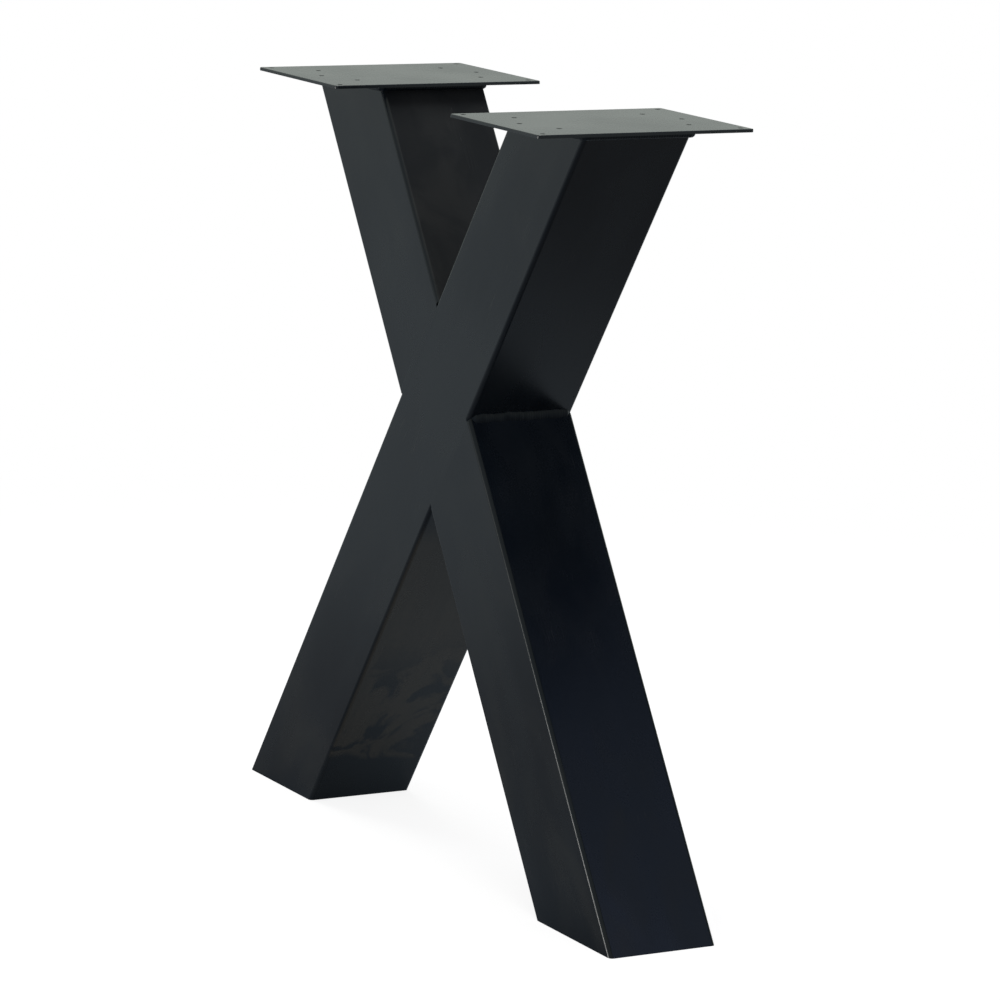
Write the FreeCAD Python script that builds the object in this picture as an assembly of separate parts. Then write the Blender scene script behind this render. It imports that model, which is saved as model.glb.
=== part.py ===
# X-shaped table leg: two square tubes crossed in one plane and welded,
# with a drilled plate on each upper arm.
# Millimetres. X runs across the crossed tubes, Y through their depth and Z up.
# The origin is on the floor, midway between the feet.
import FreeCAD, Part
import math
import os
from FreeCAD import Vector

# Overall sizes
total_height = 720.0
foot_spacing = 580.0            # between the tube centres on the floor
arm_spacing = 380.0             # between the tube centres under the plates

# Square tube
tube_size = 110.0
tube_wall = 2.0
corner_radius = 2.0 * tube_wall

# Top plates
plate_width = 160.0             # along X
plate_depth = 220.0             # along Y
plate_thickness = 3.0
plate_corner_radius = 3.0
plate_edge_rounding = 0.8

# Screw holes in the top plates
hole_diameter = 5.0
hole_edge_distance = 9.0        # from a plate's edges to a corner hole's centre
hole_weld_clearance = 3.0       # between the inner holes and the weld under the plate

# Foot plates
foot_plate_thickness = 4.0

# Welds
plate_weld_leg = 6.0
plate_weld_toe = 0.4            # thickness at the lower edge of the welds under the plates
sharp_weld_throat = 6.5         # in the sharp angles above and below the crossing
wide_weld_throat = 2.5          # in the wide angles beside the crossing
seam_edge = 0.15                # thickness at the thin edges of the flush seam welds

# Worked out from the sizes above
tube_half = tube_size / 2.0
corner_start = tube_half - corner_radius
plate_underside = total_height - plate_thickness
run = (foot_spacing + arm_spacing) / 2.0
lean = math.atan2(run, plate_underside)
crossing_height = plate_underside * foot_spacing / (foot_spacing + arm_spacing)
level_width = tube_size / math.cos(lean)        # a tube's width along X on a level cut
reach = total_height + tube_size                # longer than any tube from the crossing to its end
crossing = Vector(0.0, 0.0, crossing_height)


# Outlines and solids that the pieces share

def rounded_rectangle(width, depth, radius, z=0.0):
    """Closed outline of a rectangle with round corners, centred on the Z axis."""
    across = width / 2.0 - radius
    along = depth / 2.0 - radius
    diagonal = radius * math.sqrt(0.5)
    edges = []
    for turn, (side_x, side_y) in enumerate([(1, 1), (-1, 1), (-1, -1), (1, -1)]):
        middle = Vector(side_x * across, side_y * along, z)
        beside = Vector(side_x * radius, 0.0, 0.0)
        beyond = Vector(0.0, side_y * radius, 0.0)
        first, last = (beside, beyond) if turn % 2 == 0 else (beyond, beside)
        bulge = Vector(side_x * diagonal, side_y * diagonal, 0.0)
        edges.append(Part.Arc(middle + first, middle + bulge, middle + last).toShape())
    corners = list(edges)
    for number, corner in enumerate(corners):
        following = corners[(number + 1) % 4]
        edges.append(Part.makeLine(corner.lastVertex().Point, following.firstVertex().Point))
    return Part.Wire(Part.__sortEdges__(edges))


def set_along_tube(shape, side):
    """Turn a shape drawn about the Z axis to lie along a tube through the crossing (side 1 leans right)."""
    shape.rotate(Vector(0, 0, 0), Vector(0, 1, 0), side * math.degrees(lean))
    shape.translate(crossing)
    return shape


def tube_prism(size, radius, side):
    """Endless solid square bar with round corners, lying along one diagonal."""
    outline = rounded_rectangle(size, size, radius, -reach)
    return set_along_tube(Part.Face(outline).extrude(Vector(0, 0, 2.0 * reach)), side)


def level_slab(bottom, top):
    """Everything between two heights."""
    return Part.makeBox(2.0 * reach, 2.0 * reach, top - bottom, Vector(-reach, -reach, bottom))


def export(name, shape):
    solid = shape.Solids[0]
    solid.exportStep("parts/" + name + ".step")


# Tubes

def tube(side):
    outside = tube_prism(tube_size, corner_radius, side)
    inside = tube_prism(tube_size - 2.0 * tube_wall, corner_radius - tube_wall, side)
    return outside.cut(inside).common(level_slab(0.0, plate_underside))


def half_tubes():
    """The second diagonal, saw-cut flat along the through tube's sides: upper arm, then lower leg."""
    block = Part.makeBox(tube_size, 2.0 * reach, 2.0 * reach, Vector(-tube_half, -reach, -reach))
    pieces = tube(-1).cut(set_along_tube(block, 1)).Solids
    return sorted(pieces, key=lambda piece: -piece.CenterOfMass.z)


# Top plates and foot plates

def hole_places():
    """Centres of the screw holes from the plate's middle: corners, inner four and one near each end."""
    corner_x = plate_width / 2.0 - hole_edge_distance
    corner_y = plate_depth / 2.0 - hole_edge_distance
    inner_x = plate_width / 4.0
    inner_y = tube_half + plate_weld_leg + hole_weld_clearance + hole_diameter / 2.0
    end_y = (inner_y + corner_y) / 2.0
    places = [(x * corner_x, y * corner_y) for x in (-1, 1) for y in (-1, 1)]
    places += [(x * inner_x, y * inner_y) for x in (-1, 1) for y in (-1, 1)]
    places += [(0.0, -end_y), (0.0, end_y)]
    return places


def top_plate(side):
    outline = rounded_rectangle(plate_width, plate_depth, plate_corner_radius)
    plate = Part.Face(outline).extrude(Vector(0, 0, plate_thickness))
    top_edges = [edge for edge in plate.Edges if edge.BoundBox.ZMin > plate_thickness / 2.0]
    plate = plate.makeFillet(plate_edge_rounding, top_edges)
    for x, y in hole_places():
        plate = plate.cut(Part.makeCylinder(hole_diameter / 2.0, plate_thickness, Vector(x, y, 0.0)))
    plate.translate(Vector(side * arm_spacing / 2.0, 0.0, plate_underside))
    return plate


def foot_plate(side):
    """Closes a tube's lower end, flush with its level cut. The tube with the left foot leans right."""
    inside = tube_prism(tube_size - 2.0 * tube_wall, corner_radius - tube_wall, -side)
    return inside.common(level_slab(0.0, foot_plate_thickness))


# Welds at the crossing

def notch_weld(apex, outward, half_angle, throat):
    """Fillet weld that fills an angle between the tubes, over the flat of their sides."""
    across = Vector(outward.z, 0.0, -outward.x)
    middle = apex + outward * throat
    spread = across * (throat * math.tan(half_angle))
    start = Vector(0.0, -corner_start, 0.0)
    outline = Part.makePolygon([point + start for point in (apex, middle - spread, middle + spread, apex)])
    return Part.Face(outline).extrude(Vector(0.0, 2.0 * corner_start, 0.0))


def seam_weld(side_x, side_y):
    """Flush weld in the groove between a half tube's cut end and the through tube's round corner."""
    inset = math.sqrt(corner_radius ** 2 - (corner_radius - seam_edge) ** 2)
    deep = corner_start + corner_radius - seam_edge
    shallow = corner_start + inset
    diagonal = corner_start + corner_radius * math.sqrt(0.5)

    def at(x, y):
        return Vector(side_x * x, side_y * y, -reach)

    edges = [
        Part.makeLine(at(shallow, deep), at(shallow, tube_half)),
        Part.makeLine(at(shallow, tube_half), at(tube_half, tube_half)),
        Part.makeLine(at(tube_half, tube_half), at(tube_half, shallow)),
        Part.makeLine(at(tube_half, shallow), at(deep, shallow)),
        Part.Arc(at(deep, shallow), at(diagonal, diagonal), at(shallow, deep)).toShape(),
    ]
    groove = Part.Face(Part.Wire(edges)).extrude(Vector(0, 0, 2.0 * reach))
    return set_along_tube(groove, 1).common(tube_prism(tube_size, corner_radius, -1))


# Welds under the plates

def tube_outline(margin, z):
    """A tube's outline on a level cut, set off outwards by a margin."""
    width = level_width + 2.0 * margin
    depth = tube_size + 2.0 * margin
    return rounded_rectangle(width, depth, corner_radius + margin, z)


def plate_weld(side):
    """Fillet weld all round a tube's end, under its plate."""
    toe_height = plate_underside - plate_weld_leg
    toe_shift = plate_weld_leg * math.tan(lean)
    toe = tube_outline(plate_weld_toe, toe_height)
    toe.translate(Vector(side * (arm_spacing / 2.0 - toe_shift), 0.0, 0.0))
    brim = tube_outline(plate_weld_leg, plate_underside)
    brim.translate(Vector(side * arm_spacing / 2.0, 0.0, 0.0))
    return Part.makeLoft([toe, brim], True, True).cut(tube_prism(tube_size, corner_radius, side))


# Build every piece and write it

os.makedirs("parts", exist_ok=True)

upper_half, lower_half = half_tubes()
export("through_tube", tube(1))
export("upper_half_tube", upper_half)
export("lower_half_tube", lower_half)

for word, side in (("left", -1), ("right", 1)):
    export(word + "_top_plate", top_plate(side))
    export(word + "_foot_plate", foot_plate(side))
    export(word + "_plate_weld", plate_weld(side))

sharp_reach = tube_half / math.sin(lean)
for word, direction in (("top", 1), ("bottom", -1)):
    outward = Vector(0, 0, direction)
    apex = crossing + outward * sharp_reach
    export(word + "_notch_weld", notch_weld(apex, outward, lean, sharp_weld_throat))

wide_reach = tube_half / math.cos(lean)
wide_half_angle = math.pi / 2.0 - lean
for word, direction in (("left", -1), ("right", 1)):
    outward = Vector(direction, 0, 0)
    apex = crossing + outward * wide_reach
    export(word + "_notch_weld", notch_weld(apex, outward, wide_half_angle, wide_weld_throat))

for word, side_x in (("upper", -1), ("lower", 1)):
    for face, side_y in (("front", -1), ("back", 1)):
        export(word + "_" + face + "_seam_weld", seam_weld(side_x, side_y))
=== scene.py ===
import bpy
import bmesh
import math
from mathutils import Matrix, Vector


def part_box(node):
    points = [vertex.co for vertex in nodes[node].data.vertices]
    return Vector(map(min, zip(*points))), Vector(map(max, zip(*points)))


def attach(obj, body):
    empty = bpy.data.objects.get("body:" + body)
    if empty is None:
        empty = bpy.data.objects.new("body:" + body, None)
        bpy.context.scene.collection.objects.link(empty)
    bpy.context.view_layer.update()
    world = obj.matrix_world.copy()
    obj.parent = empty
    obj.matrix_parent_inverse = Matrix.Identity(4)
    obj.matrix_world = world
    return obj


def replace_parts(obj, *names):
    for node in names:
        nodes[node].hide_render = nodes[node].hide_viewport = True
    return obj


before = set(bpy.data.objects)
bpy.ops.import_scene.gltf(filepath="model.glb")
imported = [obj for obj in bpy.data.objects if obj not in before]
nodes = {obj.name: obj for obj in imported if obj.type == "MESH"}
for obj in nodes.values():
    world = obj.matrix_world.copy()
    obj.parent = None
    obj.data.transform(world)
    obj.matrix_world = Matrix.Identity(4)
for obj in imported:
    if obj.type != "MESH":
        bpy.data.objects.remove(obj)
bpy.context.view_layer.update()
scene = bpy.context.scene
print("frame loaded with", len(nodes), "nodes")


# sizes read from the frame, in metres

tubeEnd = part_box("through_tube")[1]
plateLow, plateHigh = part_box("right_top_plate")
plateMiddle = (plateLow.x + plateHigh.x) / 2
plateUnder = plateLow.z
tubeHalf = tubeEnd.y
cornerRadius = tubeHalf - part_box("top_notch_weld")[1].y
lean = math.acos(tubeHalf / (tubeEnd.x - plateMiddle))    # of a tube from upright
crossing = (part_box("top_notch_weld")[0].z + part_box("bottom_notch_weld")[1].z) / 2    # its height


# node trees

class Wire:
    # an output socket that takes part in sums

    def __init__(self, tree, socket):
        self.tree = tree
        self.socket = socket

    def combine(self, operation, first, second=0.0):
        return self.tree.add("ShaderNodeMath", {"operation": operation}, {0: first, 1: second})

    def __add__(self, other):
        return self.combine("ADD", self, other)

    def __radd__(self, other):
        return self.combine("ADD", other, self)

    def __sub__(self, other):
        return self.combine("SUBTRACT", self, other)

    def __rsub__(self, other):
        return self.combine("SUBTRACT", other, self)

    def __mul__(self, other):
        return self.combine("MULTIPLY", self, other)

    def __rmul__(self, other):
        return self.combine("MULTIPLY", other, self)

    def __truediv__(self, other):
        return self.combine("DIVIDE", self, other)

    def __rtruediv__(self, other):
        return self.combine("DIVIDE", other, self)

    def __abs__(self):
        return self.combine("ABSOLUTE", self)

    def sine(self):
        return self.combine("SINE", self)

    def above(self, low, high):
        # 0 below low, 1 above high, smooth between
        smooth = {"interpolation_type": "SMOOTHSTEP"}
        return self.tree.add("ShaderNodeMapRange", smooth, {0: self, 1: low, 2: high, 3: 0.0, 4: 1.0})

    def output(self, key):
        # another output of the same node
        return Wire(self.tree, self.socket.node.outputs[key])


class Tree:
    # adds nodes: settings first, then values or links

    def __init__(self, nodeTree):
        self.nodeTree = nodeTree

    def add(self, kind, settings=None, sockets=None, out=0):
        node = self.nodeTree.nodes.new(kind)
        for key, value in (settings or {}).items():
            setattr(node, key, value)
        for key, value in (sockets or {}).items():
            wires = value if isinstance(value, list) else [value]
            if isinstance(wires[0], Wire):
                for wire in wires:
                    self.nodeTree.links.new(wire.socket, node.inputs[key])
            else:
                node.inputs[key].default_value = value
        return Wire(self, node.outputs[out] if node.outputs else None)

    def blend(self, factor, first, second):
        # colour mix
        return self.add("ShaderNodeMix", {"data_type": "RGBA"}, {0: factor, 6: first, 7: second}, 2)

    def vectors(self, operation, first, second=None):
        # vector maths, where lengths and dot products come out as plain values
        out = 1 if operation in ("LENGTH", "DISTANCE", "DOT_PRODUCT") else 0
        sockets = {0: first}
        if second is not None:
            sockets["Scale" if operation == "SCALE" else 1] = second
        return self.add("ShaderNodeVectorMath", {"operation": operation}, sockets, out)


def emptyTree(holder):
    holder.use_nodes = True
    holder.node_tree.nodes.clear()
    return Tree(holder.node_tree)


# black powder coat, one recipe for tubes, plates and welds

coat = {
    "black": (0.0010, 0.0040, 0.0085, 1.0),
    "faded": (0.0044, 0.0080, 0.0130, 1.0),
    "smear": (0.0110, 0.0136, 0.0165, 1.0),   # dry film left by wiping
    "dirtAndReflection": (0.0780, 0.0680, 0.0520, 1.0),    # dirt film on the leg's inner side, partly a painted reflection of the floor
    # a light dust tone for hairs and nibs, also used as the painted light on the upper arm
    "dustAndLight": (0.0700, 0.0700, 0.0660, 1.0),
    "specular": 0.25,
    "roughness": 0.17,
    "cloudRoughness": 0.09,   # added where a layer lies
    "peelRoughness": 0.05,
    "smearRoughness": 0.07,
    "hairRoughness": 0.10,
    "bumpStrength": 0.4,
    "bumpDepth": 0.00006,
    # heights between which a layer sets in or thins out
    "smearTop": (0.0, 0.42),
    "armLightStart": (0.47, 0.517),               # painted light on the upper arm's inner side
    # the film stops below the notch, leaving painted shade beside it
    "filmTop": (0.2925, 0.325),
    "footShade": (0.0442, 0.052),              # cut away below: painted shade at the foot, where the contact shadow is reflected
    "wispTop": (0.12, 0.20),
    # share of a layer that is left where it is thinnest
    "smearLeast": 0.35,
    "armLightLeast": 0.72,
    "filmLeast": 0.80,
    # noises: scale per metre, stretch along the tube, and the range that is cut out
    "peel": {"scale": 560.0, "detail": 2.0},
    "clouds": {"scale": 11.0, "detail": 4.0, "stretch": 2.4, "shift": 3.1, "cut": (0.35, 0.65)},
    "smears": {"scale": 15.0, "detail": 4.0, "stretch": 1.6, "shift": 1.7, "twist": 0.7,
               "cut": (0.40, 0.76)},
    "blotches": {"scale": 24.0, "detail": 5.0, "stretch": 1.4, "shift": 6.3, "twist": 0.5,
                 "cut": (0.36, 0.64)},
    "streaks": {"scale": 60.0, "detail": 2.0, "stretch": 14.0, "shift": 7.7, "cut": (0.30, 0.75)},
    "footEdge": {"scale": 12.0, "detail": 3.0, "shift": 2.2},
    "footWobble": 0.05,
    "wisps": {"scale": 19.0, "detail": 4.0, "stretch": 0.8, "shift": 4.4, "twist": 1.4,
              "cut": (0.46, 0.58)},
    "wispBias": 2.0,          # more of them towards the back, per metre
    "hairs": {"scale": 260.0, "detail": 2.0, "stretch": 40.0, "shift": 5.3, "cut": (0.0, 0.010)},
    "hairPatches": {"scale": 24.0, "detail": 2.0, "shift": 9.2, "cut": (0.60, 0.70)},
    "hairShow": 0.16,
    # dust nibs caught in the coat
    "nibScale": 55.0,
    "nibSize": (0.0175, 0.035),
    "nibRarity": (0.90, 0.92),
    "nibHeight": 2.0,         # against the orange peel
    "nibShow": 0.8,
}


def powderCoat(name, turn=0.0, peel=1.0, roughness=0.0, dirt=1.0, shine=1.0, mottle=1.0,
               armLight=0.0, dirtAndReflection=0.0):
    material = bpy.data.materials.new(name)
    tree = emptyTree(material)
    place = tree.add("ShaderNodeTexCoord", out=3)

    def along(start, stretch=1.0):
        # coordinates that lie along a tube, drawn out by stretch
        sockets = {"Vector": place, "Location": start, "Rotation": (0.0, turn, 0.0),
                   "Scale": (1.0, 1.0, stretch)}
        return tree.add("ShaderNodeMapping", {"vector_type": "TEXTURE"}, sockets)

    def noise(word):
        sizes = coat[word]
        start = (sizes.get("shift", 0.0), 0.0, 0.0)
        sockets = {"Vector": along(start, sizes.get("stretch", 1.0)), "Scale": sizes["scale"],
                   "Detail": sizes["detail"], "Distortion": sizes.get("twist", 0.0)}
        return tree.add("ShaderNodeTexNoise", {"noise_dimensions": "3D"}, sockets)

    def patches(word):
        return noise(word).above(*coat[word]["cut"])

    def thinned(mask, least):
        return least + mask * (1 - least)

    def rightSide():
        # the flat of a tube's right side
        flat = 1 - abs(across.output("Y")).above(tubeHalf - cornerRadius, tubeHalf)
        return across.above(0.0, tubeHalf) * flat

    def paintedArmLight():
        # painted light: a lighter blotchy tone on the upper arm's inner side, standing in for lamp light
        arm = height.above(*coat["armLightStart"])
        return rightSide() * arm * thinned(patches("blotches"), coat["armLightLeast"])

    def dirtAndReflectionMask():
        # dirt film and painted reflection of the floor, streaked along the leg, with wisps cut through it;
        # it stops below the notch and above the foot, leaving painted shade at both ends
        top = 1 - height.above(*coat["filmTop"])
        edge = height + (noise("footEdge") - 0.5) * coat["footWobble"]
        foot = edge.above(*coat["footShade"])
        wisps = noise("wisps") + across.output("Y") * coat["wispBias"]
        wisps = wisps.above(*coat["wisps"]["cut"]) * (1 - height.above(*coat["wispTop"]))
        return rightSide() * top * foot * (1 - wisps) * thinned(patches("streaks"), coat["filmLeast"])

    across = tree.add("ShaderNodeSeparateXYZ", None, {0: along((0.0, 0.0, crossing))})
    height = tree.add("ShaderNodeSeparateXYZ", None, {0: place}, 2)
    low = 1 - height.above(*coat["smearTop"])
    clouds = patches("clouds")
    grain = noise("peel")
    smear = patches("smears") * thinned(low, coat["smearLeast"]) * dirt
    hair = 1 - abs(noise("hairs") - 0.5).above(*coat["hairs"]["cut"])
    hair = hair * patches("hairPatches") * dirt
    cells = tree.add("ShaderNodeTexVoronoi", {"feature": "F1"},
                     {"Vector": place, "Scale": coat["nibScale"]})
    chance = tree.add("ShaderNodeSeparateColor", None, {0: cells.output("Color")})
    nibs = (1 - cells.above(*coat["nibSize"])) * chance.above(*coat["nibRarity"]) * dirt

    color = tree.blend(clouds, coat["black"], coat["faded"])
    color = tree.blend(smear, color, coat["smear"])
    # painted light on the upper arm's inner side
    if armLight:
        color = tree.blend(paintedArmLight() * armLight, color, coat["dustAndLight"])
    # dirt film and painted reflection on the leg's inner side, with painted shade at its ends
    if dirtAndReflection:
        color = tree.blend(dirtAndReflectionMask() * dirtAndReflection, color, coat["dirtAndReflection"])
    color = tree.blend(hair * coat["hairShow"], color, coat["dustAndLight"])
    color = tree.blend(nibs * coat["nibShow"], color, coat["dustAndLight"])
    rough = coat["roughness"] + roughness + clouds * (coat["cloudRoughness"] * mottle)
    rough = rough + grain * coat["peelRoughness"] + smear * coat["smearRoughness"]
    rough = rough + hair * coat["hairRoughness"]
    bump = tree.add("ShaderNodeBump", None, {
        "Strength": coat["bumpStrength"] * peel,
        "Distance": coat["bumpDepth"],
        "Height": grain + nibs * coat["nibHeight"],
    })
    surface = tree.add("ShaderNodeBsdfPrincipled", None, {
        "Base Color": color,
        "Roughness": rough,
        "Specular IOR Level": coat["specular"] * shine,
        "Normal": bump,
    })
    tree.add("ShaderNodeOutputMaterial", None, {"Surface": surface})
    return material


# the through tube carries the dirt film and painted reflection on its lower leg's inner side
throughCoat = powderCoat("throughCoat", turn=lean, dirtAndReflection=0.8)
# the half tubes carry painted light on the upper arm's inner side
halfCoat = powderCoat("halfCoat", turn=-lean, armLight=0.42)
plateCoat = powderCoat("plateCoat", peel=1.3, roughness=0.06, dirt=0.6, shine=1.3, mottle=0.25)
weldCoat = powderCoat("weldCoat", peel=0.6, roughness=0.08, dirt=0.8, shine=0.6)

finishes = {"half_tube": halfCoat, "foot_plate": halfCoat, "top_plate": plateCoat,
            "notch_weld": weldCoat, "plate_weld": weldCoat}
for name, node in nodes.items():
    finish = throughCoat
    for ending, special in finishes.items():
        if name.endswith(ending):
            finish = special
    node.data.materials.clear()
    node.data.materials.append(finish)
print("coats made")


# weld beads: a swept bead with crescent ripples, and grains of spatter beside it

beadDetail = {
    "stepsPerRipple": 8,
    "sides": 16,
    "lumpScale": 115.0,       # per metre
    "lumpDetail": 3.0,
    "lumpShift": 3.7,         # from one seed to the next
    "nearest": 0.45,          # spatter begins here, as a share of the scatter
    "slide": 0.4,             # and strays this far along the bead
    "smallest": 0.5,          # grain, as a share of the largest
    "grainDivisions": 2,
}


def beadTree():
    group = bpy.data.node_groups.new("weldBead", "GeometryNodeTree")
    face = group.interface
    face.new_socket("Geometry", in_out="INPUT", socket_type="NodeSocketGeometry")
    for word, kind in (("Radius", "Float"), ("Pitch", "Float"), ("Ripple", "Float"), ("Lead", "Float"),
                       ("Unevenness", "Float"), ("Spatter", "Int"), ("Grain", "Float"),
                       ("Scatter", "Float"), ("Seed", "Int"), ("Coat", "Material")):
        face.new_socket(word, in_out="INPUT", socket_type="NodeSocket" + kind)
    face.new_socket("Geometry", in_out="OUTPUT", socket_type="NodeSocketGeometry")
    tree = Tree(group)
    given = tree.add("NodeGroupInput")
    pitch = given.output("Pitch")
    seed = given.output("Seed")

    def mark(name, kind="FLOAT_VECTOR"):
        return tree.add("GeometryNodeInputNamedAttribute", {"data_type": kind}, {"Name": name})

    def chance(low, high, draw):
        sockets = {2: low, 3: high, "Seed": seed + draw}
        return tree.add("FunctionNodeRandomValue", {"data_type": "FLOAT"}, sockets, 1)

    # the bead
    path = tree.add("GeometryNodeMeshToCurve", None, {"Mesh": given})
    fine = tree.add("GeometryNodeResampleCurve", {"mode": "LENGTH"},
                    {"Curve": path, "Length": pitch / beadDetail["stepsPerRipple"]})
    run = tree.add("GeometryNodeSplineParameter", out=1)
    heading = tree.add("GeometryNodeInputTangent")
    for word, kind, value in (("run", "FLOAT", run), ("heading", "FLOAT_VECTOR", heading)):
        fine = tree.add("GeometryNodeStoreNamedAttribute", {"data_type": kind, "domain": "POINT"},
                        {"Geometry": fine, "Name": word, "Value": value})
    ring = tree.add("GeometryNodeCurvePrimitiveCircle", {"mode": "RADIUS"},
                    {"Resolution": beadDetail["sides"], "Radius": given.output("Radius")})
    bead = tree.add("GeometryNodeCurveToMesh", None, {"Curve": fine, "Profile Curve": ring,
                                                      "Scale": mark("taper", "FLOAT"), "Fill Caps": True})
    normal = tree.add("GeometryNodeInputNormal")
    crown = tree.vectors("DOT_PRODUCT", normal, mark("outward"))
    phase = (mark("run", "FLOAT") + crown * given.output("Lead")) / pitch
    hump = abs((phase * math.pi).sine())
    lumps = tree.add("ShaderNodeTexNoise", {"noise_dimensions": "4D"}, {
        "W": seed * beadDetail["lumpShift"],
        "Scale": beadDetail["lumpScale"],
        "Detail": beadDetail["lumpDetail"],
    })
    lift = (hump - 0.5) * given.output("Ripple") + (lumps - 0.5) * given.output("Unevenness")
    swell = tree.vectors("SCALE", normal, lift)
    lengthwise = tree.vectors("PROJECT", swell, mark("heading"))
    swell = tree.vectors("SUBTRACT", swell, lengthwise)    # so the ends stay flat
    bead = tree.add("GeometryNodeSetPosition", None, {"Geometry": bead, "Offset": swell})
    bead = tree.add("GeometryNodeSetShadeSmooth", None, {0: bead})

    # the spatter, half sunk in the faces beside the bead
    points = tree.add("GeometryNodeCurveToPoints", {"mode": "COUNT"},
                      {"Curve": path, "Count": given.output("Spatter")})
    toss = chance(0.0, 1.0, 1).above(0.49, 0.51)    # one side or the other
    side = tree.add("ShaderNodeMix", {"data_type": "VECTOR"},
                    {0: toss, 4: mark("sideA"), 5: mark("sideB")}, 1)
    spread = given.output("Scatter")
    stray = spread * beadDetail["slide"]
    away = tree.vectors("SCALE", side, chance(spread * beadDetail["nearest"], spread, 2))
    slide = tree.vectors("SCALE", points.output("Tangent"), chance(0 - stray, stray, 3))
    place = tree.vectors("ADD", tree.vectors("ADD", mark("corner"), away), slide)
    points = tree.add("GeometryNodeSetPosition", None, {"Geometry": points, "Position": place})
    grain = tree.add("GeometryNodeMeshIcoSphere", None,
                     {"Radius": given.output("Grain"), "Subdivisions": beadDetail["grainDivisions"]})
    grain = tree.add("GeometryNodeSetShadeSmooth", None, {0: grain})
    size = chance(beadDetail["smallest"], 1.0, 4)
    spatter = tree.add("GeometryNodeInstanceOnPoints", None,
                       {"Points": points, "Instance": grain, "Scale": size})
    spatter = tree.add("GeometryNodeSwitch", {"input_type": "GEOMETRY"},
                       {"Switch": given.output("Spatter"), "True": spatter})

    both = tree.add("GeometryNodeJoinGeometry", None, {0: [bead, spatter]})
    solid = tree.add("GeometryNodeRealizeInstances", None, {0: both})
    coated = tree.add("GeometryNodeSetMaterial", None,
                      {"Geometry": solid, "Material": given.output("Coat")})
    tree.add("NodeGroupOutput", None, {0: coated})
    return group


beadGroup = beadTree()


def weldPiece(name, mesh):
    piece = bpy.data.objects.new(name, mesh)
    scene.collection.objects.link(piece)
    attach(piece, "root")
    return piece


def weldBead(name, path, closed, sizes, seed):
    # path is a list of stops, each with its place and marks
    count = len(path)
    edges = [(i, i + 1) for i in range(count - 1)]
    if closed:
        edges.append((count - 1, 0))
    line = bpy.data.meshes.new(name + "Path")
    line.from_pydata([stop["at"] for stop in path], edges, [])
    for word, value in path[0].items():
        number = isinstance(value, float)
        marks = line.attributes.new(word, "FLOAT" if number else "FLOAT_VECTOR", "POINT")
        for mark, stop in zip(marks.data, path):
            setattr(mark, "value" if number else "vector", stop[word])
    carrier = bpy.data.objects.new(name + "Path", line)
    scene.collection.objects.link(carrier)
    modifier = carrier.modifiers.new("bead", "NODES")
    modifier.node_group = beadGroup
    values = {word.capitalize(): value for word, value in sizes.items()}
    values.update({"Seed": seed, "Coat": weldCoat})
    for item in beadGroup.interface.items_tree:
        if item.in_out == "INPUT" and item.name in values:
            modifier[item.identifier] = values[item.name]
    shaped = carrier.evaluated_get(bpy.context.evaluated_depsgraph_get())
    mesh = bpy.data.meshes.new_from_object(shaped)
    carrier.modifiers.remove(modifier)
    bpy.data.objects.remove(carrier)
    return weldPiece(name, mesh)


notchBead = {
    # sink: bead centre out from the corner, endTaper: share of its thickness at the ends
    "sharp": {"radius": 0.0062, "sink": 0.0008, "endTaper": 0.75, "endInset": 0.0055, "endRun": 0.004},
    "wide": {"radius": 0.0155, "sink": -0.0121, "endTaper": 0.62, "endInset": 0.0005, "endRun": 0.006},
    "bead": {"pitch": 0.0026, "ripple": 0.00016, "lead": 0.0011, "unevenness": 0.0052,
             "spatter": 14, "grain": 0.0005, "scatter": 0.022},
    "firstSeed": 1,
}


def notchPath(node, outward, half, shape):
    # along the corner where the tubes meet, from front to back
    low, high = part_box(node)
    reach = (high - low) / 2
    corner = (low + high) / 2 - Vector((outward.x * reach.x, 0.0, outward.z * reach.z))
    across = Vector((outward.z, 0.0, -outward.x))
    sides = [outward * math.cos(half) + across * sign * math.sin(half) for sign in (1, -1)]
    end = tubeHalf - shape["endInset"]
    full = end - shape["endRun"]
    path = []
    for along, taper in ((-end, shape["endTaper"]), (-full, 1.0), (full, 1.0), (end, shape["endTaper"])):
        level = corner + Vector((0.0, along, 0.0))
        path.append({"at": level + outward * shape["sink"], "taper": taper, "outward": outward,
                     "corner": level, "sideA": sides[0], "sideB": sides[1]})
    return path


notches = (
    ("top_notch_weld", Vector((0, 0, 1)), lean, notchBead["sharp"]),
    ("bottom_notch_weld", Vector((0, 0, -1)), lean, notchBead["sharp"]),
    ("left_notch_weld", Vector((-1, 0, 0)), math.pi / 2 - lean, notchBead["wide"]),
    ("right_notch_weld", Vector((1, 0, 0)), math.pi / 2 - lean, notchBead["wide"]),
)
for seed, (node, outward, half, shape) in enumerate(notches, notchBead["firstSeed"]):
    path = notchPath(node, outward, half, shape)
    sizes = dict(notchBead["bead"], radius=shape["radius"])
    bead = weldBead(node + "_bead", path, False, sizes, seed)
    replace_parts(bead, node)
print("notch beads laid")


# welds ground flush with the front and back: a feathered skin over each groove

groundSeam = {
    "overlap": 0.0025,        # past the groove, each side
    "feather": 0.0015,
    "proud": 0.00002,
    "sunk": 0.0006,
}


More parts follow.
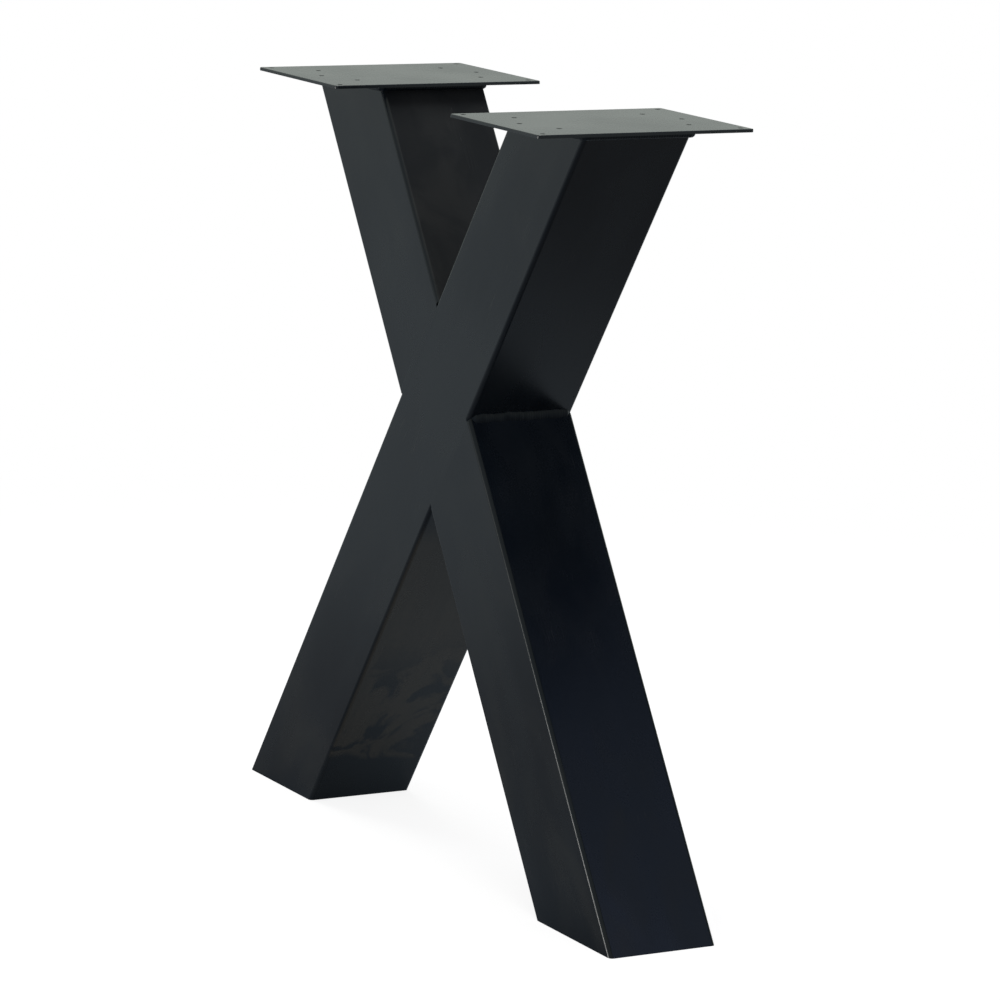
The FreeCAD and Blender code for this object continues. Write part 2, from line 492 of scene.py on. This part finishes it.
def groundSkin(name, sideX, sideY):
    # a and b are distances across the two tubes
    flat = tubeHalf - cornerRadius
    over = groundSeam["overlap"]
    rings = ((0.0, -groundSeam["sunk"]), (0.0, 0.0), (groundSeam["feather"], groundSeam["proud"]))
    corners = []
    for inset, out in rings:
        near = flat - over + inset
        far = tubeHalf + over - inset
        end = flat - inset
        for a, b in ((near, -end), (far, -end), (far, end), (near, end)):
            x = (sideX * a + b) / (2 * math.cos(lean))
            z = crossing + (b - sideX * a) / (2 * math.sin(lean))
            corners.append((x, sideY * (tubeHalf + out), z))
    faces = [(0, 1, 2, 3), (8, 9, 10, 11)]    # underside and skin, then the sides
    for level in (0, 4):
        for i in range(4):
            j = (i + 1) % 4
            faces.append((level + i, level + j, level + 4 + j, level + 4 + i))
    mesh = bpy.data.meshes.new(name)
    mesh.from_pydata(corners, [], faces)
    shape = bmesh.new()
    shape.from_mesh(mesh)
    bmesh.ops.recalc_face_normals(shape, faces=shape.faces)
    shape.to_mesh(mesh)
    shape.free()
    mesh.materials.append(throughCoat)
    return weldPiece(name, mesh)


for word, sideX in (("upper", -1), ("lower", 1)):
    for face, sideY in (("front", -1), ("back", 1)):
        node = word + "_" + face + "_seam_weld"
        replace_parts(groundSkin(node + "_ground", sideX, sideY), node)
print("seams ground flush")


plateBead = {
    "out": 0.0006,            # bead centre out from the tube's face
    "down": 0.0014,           # and down from the plate's underside
    "cornerSteps": 6,
    "bead": {"radius": 0.0034, "pitch": 0.0026, "ripple": 0.0003, "lead": 0.0012, "unevenness": 0.0008,
             "spatter": 0},
    "firstSeed": 21,
}


def platePath(side):
    # round the tube's outline, a little below the plate
    middle = side * (plateMiddle - plateBead["down"] * math.tan(lean))
    level = plateUnder - plateBead["down"]
    radius = cornerRadius + plateBead["out"]
    innerX = tubeHalf / math.cos(lean) - cornerRadius
    innerY = tubeHalf - cornerRadius
    path = []
    for quarter, (signX, signY) in enumerate(((1, 1), (-1, 1), (-1, -1), (1, -1))):
        corner = Vector((middle + signX * innerX, signY * innerY, level))
        for step in range(plateBead["cornerSteps"] + 1):
            angle = math.pi / 2 * (quarter + step / plateBead["cornerSteps"])
            ray = Vector((math.cos(angle), math.sin(angle), 0.0))
            outward = (ray - Vector((0, 0, 1))).normalized()
            path.append({"at": corner + ray * radius, "taper": 1.0, "outward": outward})
    return path


for seed, (word, side) in enumerate((("left", -1), ("right", 1)), plateBead["firstSeed"]):
    node = word + "_plate_weld"
    bead = weldBead(node + "_bead", platePath(side), True, plateBead["bead"], seed)
    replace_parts(bead, node)
print("plate beads laid")


# studio: a white floor, a bright surround with one dark part overhead, and soft lamps

studio = {
    "white": (1.0, 1.0, 1.0, 1.0),
    "floorSize": 14.0,
    "floorShade": 0.30,
    "floorLift": 0.87,        # near the leg the lamps add the rest of the white, so the shadow stays
    "farFade": (0.40, 1.85),  # between these distances the floor turns plain white
    "mirrorLift": 0.02,       # the floor near the leg, in reflections
    "mirrorFar": 0.52,        # and far from it
    "mirrorTint": (0.88, 0.97, 1.0, 1.0),
    "sheetAt": (0.0, 0.2, 0.0),               # a brighter patch between the legs, in reflections
    "sheetFade": (0.1125, 0.45),              # between these distances from its middle
    "sheetLift": 0.37,
    "sheetTint": (0.68, 0.85, 1.0, 1.0),
    "ambient": 0.30,
    "surround": (0.69, 0.745, 0.69),          # walls and ceiling in reflections
    "ceiling": 0.8,           # against the walls
    "ceilingRise": (0.20, 0.45),              # upward slope where the walls turn to ceiling
    "darkAt": (0.55, 0.65, 0.52),             # a dark part of the ceiling, behind on the right
    "darkLevel": 0.01,
    "darkFull": 24.0,         # degrees from darkAt
    "darkEnd": 38.0,
}


def seenRays(tree):
    # camera and transmission rays, then glossy ones
    rays = tree.add("ShaderNodeLightPath")
    direct = rays.output("Is Camera Ray") + rays.output("Is Transmission Ray")
    return direct, rays.output("Is Glossy Ray")


def makeFloor():
    half = studio["floorSize"] / 2
    corners = [(-half, -half, 0), (half, -half, 0), (half, half, 0), (-half, half, 0)]
    mesh = bpy.data.meshes.new("floor")
    mesh.from_pydata(corners, [], [(0, 1, 2, 3)])
    floor = bpy.data.objects.new("floor", mesh)
    scene.collection.objects.link(floor)
    material = bpy.data.materials.new("whiteFloor")
    material.cycles.emission_sampling = "NONE"
    tree = emptyTree(material)
    place = tree.add("ShaderNodeTexCoord", out=3)
    direct, mirrored = seenRays(tree)

    def glow(level, tint):
        # white to the camera, tinted in reflections
        color = tree.vectors("SCALE", tree.blend(mirrored, studio["white"], tint), level)
        return tree.add("ShaderNodeEmission", None, {"Color": color})

    shade = studio["floorShade"]
    matt = tree.add("ShaderNodeBsdfDiffuse", None, {"Color": (shade, shade, shade, 1.0)})
    sheet = 1 - tree.vectors("DISTANCE", place, studio["sheetAt"]).above(*studio["sheetFade"])
    lift = direct * studio["floorLift"] + mirrored * (sheet * studio["sheetLift"] + studio["mirrorLift"])
    near = tree.add("ShaderNodeAddShader", None, {0: matt, 1: glow(lift, studio["sheetTint"])})
    far = glow(direct + mirrored * studio["mirrorFar"], studio["mirrorTint"])
    away = tree.vectors("LENGTH", place).above(*studio["farFade"])
    surface = tree.add("ShaderNodeMixShader", None, {0: away, 1: near, 2: far})
    tree.add("ShaderNodeOutputMaterial", None, {"Surface": surface})
    mesh.materials.append(material)


def makeWorld():
    world = bpy.data.worlds.new("studio")
    world.cycles.sampling_method = "NONE"
    scene.world = world
    tree = emptyTree(world)
    look = tree.add("ShaderNodeTexCoord", out=0)
    upward = tree.add("ShaderNodeSeparateXYZ", None, {0: look}, 2)
    overhead = upward.above(*studio["ceilingRise"])
    facing = tree.vectors("DOT_PRODUCT", look, Vector(studio["darkAt"]).normalized())
    edge, full = (math.cos(math.radians(studio[word])) for word in ("darkEnd", "darkFull"))
    ceiling = studio["ceiling"] + facing.above(edge, full) * (studio["darkLevel"] - studio["ceiling"])
    level = 1 - overhead * (1 - ceiling)
    soft = tree.add("ShaderNodeBackground", None, {"Color": studio["white"], "Strength": studio["ambient"]})
    walls = tree.vectors("SCALE", studio["surround"], level)
    around = tree.add("ShaderNodeBackground", None, {"Color": walls})
    plain = tree.add("ShaderNodeBackground", None, {"Color": studio["white"]})
    direct, mirrored = seenRays(tree)
    sky = tree.add("ShaderNodeMixShader", None, {0: mirrored, 1: soft, 2: around})
    sky = tree.add("ShaderNodeMixShader", None, {0: direct, 1: sky, 2: plain})
    tree.add("ShaderNodeOutputWorld", None, {"Surface": sky})


lamps = {
    "overhead": {"at": (-0.2, -0.1, 2.7), "aim": (0.0, 0.0, 0.4), "size": (1.2, 1.2), "power": 32.0,
                 "color": (1.0, 1.0, 1.0)},
    "frontStrip": {"at": (-0.55, -2.9, 0.25), "aim": (0.2, 0.0, 0.25), "size": (0.8, 0.44), "power": 31.0,
                   "color": (1.0, 1.0, 0.97)},
    "window": {"at": (2.63, 1.84, 2.23), "aim": (0.3, 0.0, 0.1), "size": (1.2, 1.2), "power": 5.2,
               "color": (0.57, 0.68, 1.0)},
}


def makeLamp(name, lamp):
    light = bpy.data.lights.new(name, "AREA")
    light.shape = "RECTANGLE"
    light.size, light.size_y = lamp["size"]
    light.energy = lamp["power"]
    light.color = lamp["color"]
    holder = bpy.data.objects.new(name, light)
    holder.visible_camera = False
    holder.location = lamp["at"]
    facing = Vector(lamp["aim"]) - Vector(lamp["at"])
    holder.rotation_euler = facing.to_track_quat("-Z", "Y").to_euler()
    scene.collection.objects.link(holder)


makeFloor()
makeWorld()
for name, lamp in lamps.items():
    makeLamp(name, lamp)
print("studio lit")


# camera at the photo's viewing angle

view = {
    "azimuth": 60.25,
    "elevation": 11.19,
    "roll": 2.16,
    "distance": 4.4077,
    "target": (0.0341, 0.0, 0.3476),
    "lens": 170.6,
    "sensor": 36.0,
}


def makeCamera():
    around, above, roll = (math.radians(view[word]) for word in ("azimuth", "elevation", "roll"))
    level = math.cos(above)
    back = Vector((math.sin(around) * level, -math.cos(around) * level, math.sin(above)))
    right = Vector((0, 0, 1)).cross(back).normalized()
    up = back.cross(right)
    turned = math.cos(roll) * right + math.sin(roll) * up
    upright = back.cross(turned)
    place = Vector(view["target"]) + back * view["distance"]
    data = bpy.data.cameras.new("camera")
    data.sensor_width = view["sensor"]
    data.lens = view["lens"]
    camera = bpy.data.objects.new("camera", data)
    rows = zip(turned, upright, back, place)
    camera.matrix_world = Matrix([list(row) for row in rows] + [[0, 0, 0, 1]])
    scene.collection.objects.link(camera)
    scene.camera = camera


makeCamera()
scene.view_settings.view_transform = "Standard"
print("camera set")
